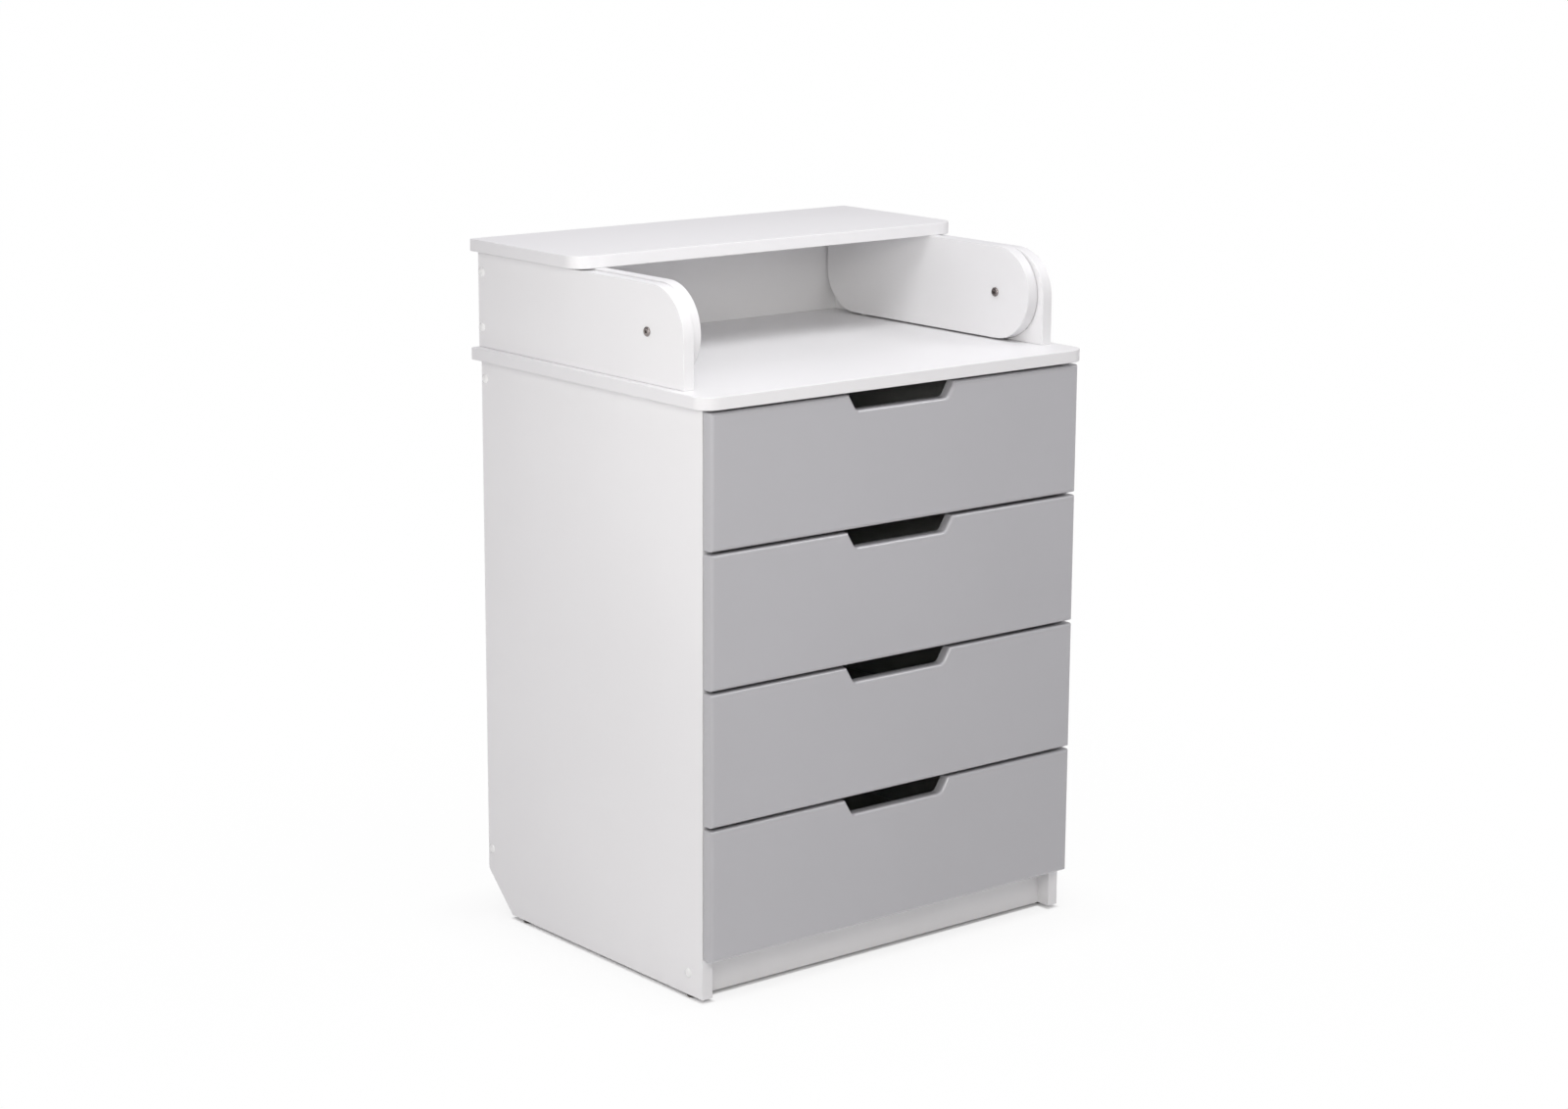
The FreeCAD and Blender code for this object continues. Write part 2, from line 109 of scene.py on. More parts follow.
# %% Group helpers
def group(name, inputs, outputs):
    """A new node group with named sockets, and the nodes where its inputs and outputs appear."""
    tree = bpy.data.node_groups.new(name, "ShaderNodeTree")
    for label, kind, value in inputs:
        socket = tree.interface.new_socket(name=label, in_out="INPUT", socket_type=kind)
        if value is not None:
            socket.default_value = value
    for label, kind in outputs:
        tree.interface.new_socket(name=label, in_out="OUTPUT", socket_type=kind)
    return tree, tree.nodes.new("NodeGroupInput"), tree.nodes.new("NodeGroupOutput")


def place_group(tree, shared, values):
    """Places a node group in a tree under the group's own name, and feeds its named inputs."""
    node = tree.nodes.new("ShaderNodeGroup")
    node.node_tree = shared
    node.name = shared.name
    feed_all(tree, [node.inputs[label] for label in values], values.values())
    return node


# %% [markdown]
# ## Noise that several finishes share
# Melamine board, painted foil and hardboard all have two things in common: their colour drifts a
# little over a hand's width, and their skin is finely pebbled by the press plate. An image could
# hold both, but noise on Object coordinates needs no file and has no seams, so two small node
# groups make them once and every finish places them with its own values.

# %% Drifting colour
drift_group, start, end = group(
    "drifting_colour",
    [("Vector", "NodeSocketVector", None), ("Light", "NodeSocketColor", (0.8, 0.8, 0.8, 1)),
     ("Dark", "NodeSocketColor", (0.7, 0.7, 0.7, 1)), ("Patch scale", "NodeSocketFloat", 5.0)],
    [("Color", "NodeSocketColor"), ("Mask", "NodeSocketFloat")])
patches = noise(drift_group, start.outputs["Vector"], start.outputs["Patch scale"], 3.0, 0.45)
mask = spread(drift_group, patches, 0.3, 0.7, 0.0, 1.0)
drifted = mix_colour(drift_group, mask, start.outputs["Light"], start.outputs["Dark"])
feed(drift_group, end.inputs["Color"], drifted)
feed(drift_group, end.inputs["Mask"], mask)

# %% Pebbled skin
skin_group, start, end = group(
    "pebbled_skin",
    [("Vector", "NodeSocketVector", None), ("Pebble scale", "NodeSocketFloat", 900.0),
     ("Wave scale", "NodeSocketFloat", 14.0), ("Wave share", "NodeSocketFloat", 0.5)],
    [("Height", "NodeSocketFloat")])
pebbles = noise(skin_group, start.outputs["Vector"], start.outputs["Pebble scale"], 2.0)
waves = noise(skin_group, start.outputs["Vector"], start.outputs["Wave scale"], 1.0)
wave_part = calculate(skin_group, "MULTIPLY", waves, start.outputs["Wave share"])
feed(skin_group, end.inputs["Height"], calculate(skin_group, "ADD", pebbles, wave_part))
print("groups", [shared.name for shared in bpy.data.node_groups])

# %% [markdown]
# ## Wear along the rims
# A board's edge is a plastic strip glued on, so its rim shows a thin glue line, and hands rub the
# rim in spots. The grey fronts are wrapped in foil and have no glue line: there the same thin
# darker line along the rim is painted shade. Geometry's Pointiness could find the rims, but only
# in Cycles and only on a dense mesh. The boards below carry the edge_band attribute instead, 0 on
# the faces and 1 on the strip, and the rim is where it is near one half.

# %% Rim wear
wear_group, start, end = group(
    "rim_wear",
    [("Vector", "NodeSocketVector", None), ("Band", "NodeSocketFloat", 0.0),
     ("Spot scale", "NodeSocketFloat", 60.0), ("Amount", "NodeSocketFloat", 1.0)],
    [("Mask", "NodeSocketFloat"), ("Glue line", "NodeSocketFloat")])
from_half = calculate(wear_group, "SUBTRACT", start.outputs["Band"], 0.5)
rim = spread(wear_group, calculate(wear_group, "ABSOLUTE", from_half), 0.0, 0.5, 1.0, 0.0)
spots = spread(wear_group, noise(wear_group, start.outputs["Vector"], start.outputs["Spot scale"],
                                 4.0, 0.6), 0.48, 0.66, 0.0, 1.0)
rubbed = calculate(wear_group, "MULTIPLY", calculate(wear_group, "MULTIPLY", rim, spots),
                   start.outputs["Amount"])
feed(wear_group, end.inputs["Mask"], rubbed)
feed(wear_group, end.inputs["Glue line"], rim)
print("groups", len(bpy.data.node_groups))

# %% [markdown]
# ## A starting point for every finish
# A finish here is a Principled BSDF whose colour comes from the drift group, whose roughness
# wanders a little with the same patches, and whose normal comes from the pebbled skin through a
# Bump node. Constants that are the same everywhere sit on the shader's own sockets.

# %% Finish helper
def finish(name, light, dark, rough, patch=5.0, pebble=900.0, wave=14.0, wave_share=0.5,
           depth=0.00002, metal=0.0, rough_swing=0.04, coat=0.0, coat_rough=0.25):
    material = bpy.data.materials.new(name)
    material.use_nodes = True
    tree = material.node_tree
    place = tree.nodes.new("ShaderNodeTexCoord").outputs["Object"]
    drift = place_group(tree, drift_group, {"Vector": place, "Light": (*light, 1),
                                            "Dark": (*dark, 1), "Patch scale": patch})
    skin = place_group(tree, skin_group, {"Vector": place, "Pebble scale": pebble,
                                          "Wave scale": wave, "Wave share": wave_share})
    bump = tree.nodes.new("ShaderNodeBump")
    bump.inputs["Distance"].default_value = depth
    feed(tree, bump.inputs["Height"], skin.outputs["Height"])
    roughness = spread(tree, drift.outputs["Mask"], 0.0, 1.0, rough - rough_swing,
                       rough + rough_swing)
    values = {"Normal": bump.outputs["Normal"], "Base Color": drift.outputs["Color"],
              "Roughness": roughness, "Metallic": metal, "Coat Weight": coat,
              "Coat Roughness": coat_rough}
    shader = tree.nodes["Principled BSDF"]
    feed_all(tree, [shader.inputs[label] for label in values], values.values())
    return material


# %% [markdown]
# ## The edge strip of a board
# The strip has its own tint, a thin darker line lies over it, and rubbed spots lie over both, so
# three mixes follow one another. The line is a glue line on the melamine boards and painted shade
# on the grey fronts. Rubbed spots are also a little rougher. A second material on the edge faces
# would do for the strip alone, but not for the soft change at the rim.

# %% Edge strip helper
def band_tint(material, band_colour, glue_and_shade_line_colour, glue_and_shade_line_share, worn_colour, worn_share):
    """Adds the strip, a darker rim line and rubbed spots to a finish of a board. The line is a glue
    line on melamine and painted shade on the grey fronts.
    """
    tree = material.node_tree
    shader = tree.nodes["Principled BSDF"]
    band = tree.nodes.new("ShaderNodeAttribute")
    band.attribute_name = "edge_band"
    wear = place_group(tree, wear_group, {
        "Vector": tree.nodes["Texture Coordinate"].outputs["Object"],
        "Band": band.outputs["Fac"], "Amount": worn_share})
    plain = tree.nodes[drift_group.name].outputs["Color"]
    strip = mix_colour(tree, band.outputs["Fac"], plain, (*band_colour, 1))
    # The darker rim line: a glue line on melamine, painted shade on the grey fronts.
    line = calculate(tree, "MULTIPLY", wear.outputs["Glue line"], glue_and_shade_line_share)
    glue_and_shade_lined = mix_colour(tree, line, strip, (*glue_and_shade_line_colour, 1))
    feed(tree, shader.inputs["Base Color"],
         mix_colour(tree, wear.outputs["Mask"], glue_and_shade_lined, (*worn_colour, 1)))
    smooth = shader.inputs["Roughness"].links[0].from_socket
    rougher = spread(tree, wear.outputs["Mask"], 0.0, 1.0, 0.0, 0.12)
    feed(tree, shader.inputs["Roughness"], calculate(tree, "ADD", smooth, rougher))


# %% [markdown]
# ## The finishes of the boards
# White melamine on chipboard, grey foil on the fibreboard fronts, pale foil on the drawer boxes and
# painted hardboard at the back. The whites are at or under 0.85, so that they never clip under
# plain light, and the grey foil has a clear coat, because its rounded edges mirror the lamps in
# thin lines.

# %% Boards
finishes = {
    "white_board": finish("white_melamine", (0.835, 0.83, 0.84), (0.815, 0.81, 0.82), 0.42,
                          patch=3.0, depth=0.000012),
    "grey_front": finish("grey_foil", (0.428, 0.424, 0.449), (0.409, 0.405, 0.427), 0.34,
                         patch=2.5, pebble=1200.0, depth=0.000008, coat=0.8, coat_rough=0.14),
    "box_board": finish("pale_foil", (0.83, 0.83, 0.835), (0.80, 0.80, 0.805), 0.5,
                        patch=6.0, pebble=700.0),
    "hardboard": finish("painted_hardboard", (0.79, 0.785, 0.77), (0.74, 0.735, 0.72), 0.62,
                        patch=9.0, pebble=420.0, wave=60.0, wave_share=1.0, depth=0.00005),
}
band_tint(finishes["white_board"], (0.772, 0.767, 0.780), (0.66, 0.655, 0.66), 0.5,
          (0.60, 0.58, 0.56), 0.35)
# The grey fronts' darker rim line is painted shade, since wrapped foil has no glue line.
band_tint(finishes["grey_front"], (0.428, 0.424, 0.446), (0.37, 0.365, 0.38), 0.30,
          (0.52, 0.515, 0.53), 0.20)
band_tint(finishes["box_board"], (0.78, 0.78, 0.785), (0.52, 0.52, 0.53), 0.6,
          (0.52, 0.50, 0.47), 0.4)
print("board finishes", list(finishes))

# %% [markdown]
# ## The finishes of the fittings
# Zinc on the runners, satin nickel on the bolts, a glossy cap plastic, dark glides, clear rubber
# and beech dowels. They are the same recipe with smaller patches, since the pieces are small. The
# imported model's own pieces take these finishes too, by the slots that the record gives them.

# %% Metals and small parts
finishes.update({
    "zinc_steel": finish("zinc_plated_steel", (0.62, 0.64, 0.66), (0.50, 0.51, 0.52), 0.32,
                         patch=28.0, pebble=600.0, depth=0.00001, metal=1.0, rough_swing=0.10),
    "nickel": finish("satin_nickel", (0.36, 0.325, 0.315), (0.20, 0.175, 0.17), 0.24,
                     patch=160.0, pebble=1500.0, depth=0.00001, metal=1.0, rough_swing=0.08),
    "white_plastic": finish("white_cap_plastic", (0.85, 0.85, 0.85), (0.83, 0.83, 0.83), 0.22,
                            patch=60.0, depth=0.000005, coat=0.8, coat_rough=0.15),
    "glide_plastic": finish("dark_glide_plastic", (0.060, 0.052, 0.048), (0.035, 0.030, 0.028),
                            0.55, patch=90.0),
    "bumper_rubber": finish("clear_bumper_rubber", (0.62, 0.62, 0.62), (0.55, 0.55, 0.55), 0.5,
                            patch=120.0),
    "beech": finish("beech_dowel", (0.62, 0.44, 0.27), (0.50, 0.34, 0.19), 0.6,
                    patch=180.0, pebble=500.0),
})
slot_of = {part["node"]: part["material_slot"] for part in frame["record"]["subparts"]}
for node, thing in frame["nodes"].items():
    for place in thing.material_slots:
        place.material = finishes[slot_of[node]]
print("finishes", len(finishes))

# %% [markdown]
# ## Surfaces as arrays
# Every new piece below is a row of closed rings of points, with quads from ring to ring and a flat
# cap on the first and the last. Worked out as whole arrays this takes a few lines for any shape,
# and several such surfaces can be set side by side in one piece.

# %% Rings, caps and joining
def rings_and_caps(rings, count):
    """Quads between closed rings of equally many points, and a flat cap on the first and last."""
    index = np.arange(rings * count).reshape(rings, count)
    following = np.roll(index, -1, 1)
    quads = np.stack([index[:-1], following[:-1], following[1:], index[1:]], -1).reshape(-1, 4)
    return quads, [index[0][::-1], index[-1]]


def joined(surfaces):
    """Sets surfaces side by side in one set of arrays: the quads and caps of each one are counted
    on from the points before it."""
    start = np.cumsum([0] + [len(points) for points, quads, caps in surfaces])
    points = np.concatenate([surface[0] for surface in surfaces])
    quads = np.concatenate([surface[1] + first for surface, first in zip(surfaces, start)])
    caps = [cap + first for surface, first in zip(surfaces, start) for cap in surface[2]]
    return points, quads, caps


print("quads between 3 rings of 12 points", len(rings_and_caps(3, 12)[0]))

# %% [markdown]
# ## Putting a surface into a mesh
# The arrays go into a mesh, and a board brings the exact normal of each point with it. Blender
# could average the normals itself, but the exact ones keep a flat board flat right up to its
# rounded edge, without extra loops of faces.

# %% From arrays to a piece
def put_piece(name, points, quads, caps, body, slot, replaced=(), normals=None, band=None):
    """Makes the mesh, gives it the finish of its slot and lets it ride on its body."""
    mesh = bpy.data.meshes.new(name)
    mesh.from_pydata(points.tolist(), [], quads.tolist() + [cap.tolist() for cap in caps])
    mesh.polygons.foreach_set("use_smooth", np.ones(len(mesh.polygons), bool))
    if band is not None:
        layer = mesh.attributes.new("edge_band", "FLOAT", "POINT")
        layer.data.foreach_set("value", band.astype(np.float32))
    mesh.update()
    if normals is not None:
        mesh.normals_split_custom_set_from_vertices(normals.tolist())
    mesh.materials.append(finishes[slot])
    piece = bpy.data.objects.new(name, mesh)
    bpy.context.scene.collection.objects.link(piece)
    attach(piece, body)
    if replaced:
        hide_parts(*replaced)
    return piece


# %% [markdown]
# ## Outlines with rounded corners
# The sides, arms and fronts have curved outlines, and even a plain board has slightly broken
# corners. An outline is a short list of corners with a radius each. A curve object could round
# them, but arrays let the same outline be drawn in by an exact inset, ring after ring.

# %% Outline of a board
sawn = 0.0009           # radius of a board's plain corners
least_radius = 0.00008  # an arc never shrinks to a point


def outline_rings(corners, insets):
    """Corners (u, v, R) -> points and outward normals for each inset d of the outline.

    A corner moves along its mitre by d, and the arc in it has the radius max(R - d, least) on
    an outward corner and R + d on an inward one, so that
    point(d, a) = centre(d) + radius(d) * side * (cos a, sin a).
    """
    place = np.array([corner[:2] for corner in corners], float)
    radius = np.array([corner[2] for corner in corners], float)
    if np.cross(place - np.roll(place, 1, 0), np.roll(place, -1, 0) - place).sum() < 0:
        place = place[::-1]
        radius = radius[::-1]
    ahead = np.roll(place, -1, 0) - place
    ahead /= np.linalg.norm(ahead, axis=1)[:, None]
    before = np.roll(ahead, 1, 0)
    normal_in = np.stack([before[:, 1], -before[:, 0]], 1)
    normal_out = np.stack([ahead[:, 1], -ahead[:, 0]], 1)
    mitre = (normal_in + normal_out) / (1 + (normal_in * normal_out).sum(1))[:, None]
    turn = np.arctan2(before[:, 0] * ahead[:, 1] - before[:, 1] * ahead[:, 0],
                      (before * ahead).sum(1))
    rings = []
    normals = []
    for inset in insets:
        points = []
        directions = []
        for i, bend in enumerate(turn):
            side = 1.0 if bend > 0 else -1.0
            size = max(radius[i] - side * inset, least_radius)
            # A larger arc gets more points.
            steps = 3 if radius[i] < 0.0012 else (7 if radius[i] < 0.012 else 25)
            first = math.atan2(normal_in[i, 1], normal_in[i, 0])
            angle = first + bend * np.linspace(0, 1, steps)
            along = np.stack([np.cos(angle), np.sin(angle)], 1)
            centre = place[i] - mitre[i] * (inset + side * size)
            points.append(centre + side * size * along)
            directions.append(along)
        rings.append(np.concatenate(points))
        normals.append(np.concatenate(directions))
    return np.array(rings), np.array(normals)


square = [(0, 0, sawn), (1, 0, sawn), (1, 1, sawn), (0, 1, sawn)]
print("points round a plain board", outline_rings(square, [0])[0].shape[1])

# %% [markdown]
# ## Boards with softened edges
# A melamine board is sawn, edged with a glued plastic strip, and the strip is trimmed to a small
# radius. A box with a Bevel modifier would work for a plain box, but not for these outlines with
# an exact normal everywhere, so a board is worked out as one surface: its outline carried through
# its thickness, drawn in a little at both faces along a quarter circle.

# %% Board surface
rim_width = 0.0008      # the trimmed radius, where a board's face turns into its edge strip
plane_of = {"x": (1, 2, 0), "y": (0, 2, 1), "z": (0, 1, 2)}  # outline's u and v, and the axis


def board_surface(corners, axis, low, high, low_round, high_round, steps):
    """One closed surface: point(s, k) = outline(s) drawn in by inset(k), at height(k) along the
    axis, where inset and height follow a quarter circle at each face and run straight between."""
    swing = np.linspace(0, math.pi / 2, steps)
    inset = np.concatenate([low_round * (1 - np.sin(swing)), high_round * (1 - np.cos(swing))])
    height = np.concatenate([low + low_round * (1 - np.cos(swing)),
                             high - high_round * (1 - np.sin(swing))])
    lean = np.concatenate([-np.cos(swing), np.sin(swing)])[:, None]
    rings, outward = outline_rings(corners, inset)
    points = np.zeros((*rings.shape[:2], 3))
    normals = np.zeros_like(points)
    u, v, w = plane_of[axis]
    points[..., (u, v)] = rings
    points[..., w] = height[:, None]
    normals[..., (u, v)] = outward * np.sqrt(1 - lean ** 2)[..., None]
    normals[..., w] = lean
    quads, caps = rings_and_caps(*rings.shape[:2])
    if axis == "y":
        quads = quads[:, ::-1]
        caps = [cap[::-1] for cap in caps]
    band = np.clip(np.minimum(inset.max() - inset, rim_width) / rim_width, 0, 1)
    return (points.reshape(-1, 3), quads, caps), normals.reshape(-1, 3), np.repeat(
        band, rings.shape[1])


# %% [markdown]
# ## A board as a piece
# A fine board stands for the CAD node of its own name, which is hidden and stays for collision. A
# plain board has four corners that its CAD box gives, so it can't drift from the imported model.

# %% Board helpers
def board(name, body, slot, corners, axis, low, high, low_round=rim_width, high_round=rim_width,
          steps=4, replaced=None):
    """Makes a board. Unless replaced is given, it stands for the node of its own name."""
    surface, normals, band = board_surface(corners, axis, low, high, low_round, high_round, steps)
    if replaced is None:
        replaced = (name.replace("fine_", ""),)
    return put_piece(name, *surface, body, slot, replaced, normals, band)


def box_corners(node, axis):
    """The four outline corners of a plain board, from its CAD box, and its two faces."""
    low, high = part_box(node)
    u, v, w = plane_of[axis]
    corners = [(low[u], low[v], sawn), (high[u], low[v], sawn),
               (high[u], high[v], sawn), (low[u], high[v], sawn)]
    return corners, low[w], high[w]


# %% [markdown]
# ## The carcass
# Two side panels reach the floor, with the rear-bottom corner cut off for the skirting board. The
# countertop lies on them with a small overhang and has generously rounded front corners, and the
# shelf of the flip-over top is a slab of the same kind. Each takes its size from its CAD box, so
# only the cut and the radii are written here.

# %% Side panels, countertop and shelf
skirting_depth, skirting_height = 0.054, 0.052
slab_radius = 0.025
slab_rim = 0.0011

for side in ("left", "right"):
    low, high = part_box("side_" + side)
    corners = [(low.y, low.z, sawn), (high.y - skirting_depth, low.z, sawn),
               (high.y, low.z + skirting_height, sawn), (high.y, high.z, sawn),
               (low.y, high.z, sawn)]
    board("fine_side_" + side, "carcass", "white_board", corners, "x", low.x, high.x)

for node, body in (("countertop", "carcass"), ("shelf", "flip_top")):
    low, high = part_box(node)
    corners = [(low.x, low.y, slab_radius), (high.x, low.y, slab_radius),
               (high.x, high.y, sawn), (low.x, high.y, sawn)]
    board("fine_" + node, body, "white_board", corners, "z", low.z, high.z, slab_rim, slab_rim)

# %% [markdown]
# ## Cross boards and back
# Between the sides stand the plinth, two rear rails and the upper back, and the hardboard closes
# the rear. They are plain boards, so their CAD boxes say everything, and one loop makes them.

# %% Cross boards and back
for node, slot in (("plinth", "white_board"), ("rear_rail_top", "white_board"),
                   ("rear_rail_bottom", "white_board"), ("upper_back", "white_board"),
                   ("back_panel", "hardboard")):
    corners, near, far = box_corners(node, "y")
    board("fine_" + node, "carcass", slot, corners, "y", near, far, 0.0005, 0.0005)
print("carcass boards done")

# %% [markdown]
# ## The superstructure and the arms of the flip-over top
# The upper sides have one big rounded corner. Each arm of the flip-over top ends in a half-round
# nose that turns just clear of the countertop, and has a rounding at its rear foot, which swings
# over the countertop too. Its nose takes half the arm's height as its radius.

# %% Upper sides and arms
upper_radius = 0.062
foot_radius = 0.058
for side in ("left", "right"):
    low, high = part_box("upper_side_" + side)
    corners = [(low.y, low.z, sawn), (high.y, low.z, sawn), (high.y, high.z, sawn),
               (low.y, high.z, upper_radius)]
    board("fine_upper_side_" + side, "carcass", "white_board", corners, "x", low.x, high.x,
          slab_rim, slab_rim)
    low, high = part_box("arm_" + side)
    nose = (high.z - low.z) / 2 - 0.00001
    corners = [(low.y, low.z, nose), (high.y, low.z, foot_radius), (high.y, high.z, sawn),
               (low.y, high.z, nose)]
    board("fine_arm_" + side, "flip_top", "white_board", corners, "x", low.x, high.x,
          slab_rim, slab_rim)
print("arm nose radius", round(nose, 4))

# %% [markdown]
# ## Drawers
# The front is fibreboard wrapped in grey foil: its front edges are rounded over and the finger
# notch is milled through its top edge. Cutting the notch with a Boolean would leave sharp rims, so
# it is part of the outline and gets the same rounding. Behind it is a plain box of foiled boards.

# %% Drawer fronts and boxes
drawers = range(1, 5)
notch_top, notch_floor = 0.086, 0.074  # half its width at the top edge and at its floor
notch_depth, notch_fillet = 0.020, 0.008
front_corner, front_round, rear_round = 0.002, 0.005, 0.0008
for number in drawers:
    body = "drawer_%d" % number
    node = body + "_front"
    low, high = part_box(node)
    floor = high.z - notch_depth
    corners = [
        (low.x, low.z, front_corner), (high.x, low.z, front_corner),
        (high.x, high.z, front_corner), (notch_top, high.z, front_corner),
        (notch_floor, floor, notch_fillet), (-notch_floor, floor, notch_fillet),
        (-notch_top, high.z, front_corner), (low.x, high.z, front_corner),
    ]
    board("fine_" + node, body, "grey_front", corners, "y", low.y, high.y, front_round, rear_round,
          steps=9)
    for part, axis in (("side_left", "x"), ("side_right", "x"), ("back", "y"), ("bottom", "z")):
        node = "%s_%s" % (body, part)
        corners, near, far = box_corners(node, axis)
        board("fine_" + node, body, slot_of[node], corners, axis, near, far, 0.0006, 0.0006)
print("drawers", len(drawers))

# %% [markdown]
# ## Telescopic runners
# A runner is three channels of folded steel sheet, one inside the next, with balls between them.
# Their sections have soft bends, so each member is its folded section carried along its length,
# which is the same surface as a board whose outline is the section. Like members that ride
# together share one node, so their surfaces are joined into one piece.

# %% Folded sections
sides = (("left", -1), ("right", 1))
inner_face, outer_face = (round(corner.x, 4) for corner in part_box("side_right"))
sheet_steel = 0.0012
outer_bend, inner_bend = 0.0016, 0.0005


def folded_section(height, sign, web, reach, half_height, lip, sheet=sheet_steel):
    """Section (x, z, bend radius) of a member on one side; sign -1 is the left of the dresser.
    The web and the flanges' reach are measured from the side panel's inner face."""
    way = sheet if reach > web else -sheet
    tip = 0.25 * sheet
    outer = [(reach, half_height - max(lip, sheet), tip),
             (reach, half_height, outer_bend if lip else tip), (web, half_height, outer_bend)]
    inner = [(web + way, half_height - sheet, inner_bend)]
    if lip:
        inner += [(reach - way, half_height - sheet, inner_bend),
                  (reach - way, half_height - lip, tip)]
    lower = [(x, -z, r) for x, z, r in reversed(outer)]
    inner_lower = [(x, -z, r) for x, z, r in reversed(inner)]
    return [(sign * (inner_face - x), height + z, r)
            for x, z, r in outer + lower + inner_lower + inner]


def runner_height(number):
    """The height of a drawer's runners, at the middle of their CAD box."""
    low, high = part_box("drawer_%d_runners" % number)
    return (low.z + high.z) / 2


def member(name, body, numbers, signs, size, node):
    """One kind of member at each of the heights and sides, carried from end to end of its node."""
    low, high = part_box(node)
    surfaces = [
        board_surface(folded_section(runner_height(number), sign, **size), "y", low.y, high.y,
                      0.0002, 0.0002, 2)[0] for number in numbers for sign in signs]
    piece = put_piece(name, *joined(surfaces), body, "zinc_steel", (node,))
    piece.data.set_sharp_from_angle(angle=math.radians(35))


print("inner face", inner_face, "outer face", outer_face)

# %% [markdown]
# ## The three members
# The cabinet member opens inwards, the middle one nests in it, and the drawer's is a small channel
# that opens the other way. A member on the carcass holds all four heights in one piece, and the
# moving ones ride on their own drawer or runner.

# %% Runner members
cabinet_size = {"web": 0.0, "reach": 0.0095, "half_height": 0.0225, "lip": 0.0040}
middle_size = {"web": 0.0032, "reach": 0.0107, "half_height": 0.0181, "lip": 0.0040}
drawer_size = {"web": 0.0127, "reach": 0.0060, "half_height": 0.0137, "lip": 0.0}
for side, sign in sides:
    member("fine_runners_" + side, "carcass", drawers, (sign,), cabinet_size,
           "cabinet_runners_" + side)
for number in drawers:
    member("fine_runner_middle_%d" % number, "runner_%d" % number, (number,), (-1, 1), middle_size,
           "runner_middle_%d" % number)
    member("fine_drawer_%d_runners" % number, "drawer_%d" % number, (number,), (-1, 1),
           drawer_size, "drawer_%d_runners" % number)
print("runners at", [round(runner_height(number), 4) for number in drawers])

# %% [markdown]
# ## Turned fittings
# Caps, bolt heads, glides and washers are all turned shapes. A recess for a key is a turned shape
# too, if the radius of its rings is allowed to depend on the angle: for a hexagon it is
# size / cos(angle to the nearest flat), and for a cross it is the edge of two crossed bars. A
# Screw modifier could turn a profile, but not with such a recess in it.

# %% Turned surface
def hexagon(angle, size):
    """size / cos(angle to the nearest flat), where size is from the middle to a flat."""
    nearest = (angle + math.pi / 6) % (math.pi / 3) - math.pi / 6
    return size / np.cos(nearest)


def cross(angle, size):
    """The edge of two crossed bars: the farther of the two, at each angle."""
    c = np.abs(np.cos(angle)) + 1e-9
    s = np.abs(np.sin(angle)) + 1e-9
    bar = size * 0.28
    return np.maximum(np.minimum(size / c, bar / s), np.minimum(bar / c, size / s))


def turned(name, body, slot, profile, places, direction, replaced=(), turns=48):
    """point(i, a) = foot + height(i) * direction + radius(i, a) * (cos a * u + sin a * v).

    The profile is a list of (radius or (shape, size), height) from the back to the front, and
    both ends are closed by a flat cap. The shape is set at each of the places."""
    angle = np.linspace(0, 2 * math.pi, turns, endpoint=False)
    axis = np.array(direction, float)
    u = np.cross(axis, (0, 0, 1) if abs(axis[2]) < 0.5 else (0, 1, 0))
    u /= np.linalg.norm(u)
    v = np.cross(axis, u)
    radius = np.array([size[0](angle, size[1]) if isinstance(size, tuple)
                       else np.full(turns, size) for size, height in profile])
    height = np.array([height for size, height in profile])
    shape = (height[:, None, None] * axis
             + (radius * np.cos(angle))[..., None] * u + (radius * np.sin(angle))[..., None] * v)
    quads, caps = rings_and_caps(*radius.shape)
    surfaces = [(shape.reshape(-1, 3) + np.array(place), quads, caps) for place in places]
    piece = put_piece(name, *joined(surfaces), body, slot, replaced)
    piece.data.set_sharp_from_angle(angle=math.radians(40))


print("hexagon from flat to corner", [round(float(hexagon(a, 1.0)), 3) for a in (0, math.pi / 6)])

# %% [markdown]
# ## Where the fittings sit
# A CAD node of fittings holds several like solids in one mesh, and the new shapes need the middle
# of each. Separating the loose parts would tell, but it changes the mesh, so the points are sorted
# into solids by the empty gaps between them.

# %% Middles of the solids
def centres(node, gap=0.013):
    """The middle of each separate solid in a CAD node. Along each axis a point is numbered by the
    gaps wider than this one before it, and points with the same three numbers are one solid."""
    mesh = frame["nodes"][node].data
    points = np.zeros(len(mesh.vertices) * 3)
    mesh.vertices.foreach_get("co", points)
    points = points.reshape(-1, 3)
    order = np.argsort(points, 0)
    ranked = np.take_along_axis(points, order, 0)
    number = np.vstack([np.zeros(3, int), np.cumsum(np.diff(ranked, axis=0) > gap, 0)])
    label = np.zeros_like(number)
    np.put_along_axis(label, order, number, 0)
    which = np.unique(label, axis=0, return_inverse=True)[1].reshape(-1)
    low = np.full((which.max() + 1, 3), np.inf)
    high = -low
    np.minimum.at(low, which, points)
    np.maximum.at(high, which, points)
    return (low + high) / 2


cap_places = centres("screw_caps")
cam_places = centres("cams")
glide_places = centres("glides")
print("caps", len(cap_places), "cams", len(cam_places), "glides", len(glide_places))

# %% [markdown]
# ## Caps, bolts and glides
# Domed plastic caps hide the connecting screws. The flip-over top turns on a nickel bolt in each
# upper side, with a sleeve that is screwed onto it from inside the arm and a washer between the
# two boards. Both heads have a hexagon recess. Four glides carry the sides.

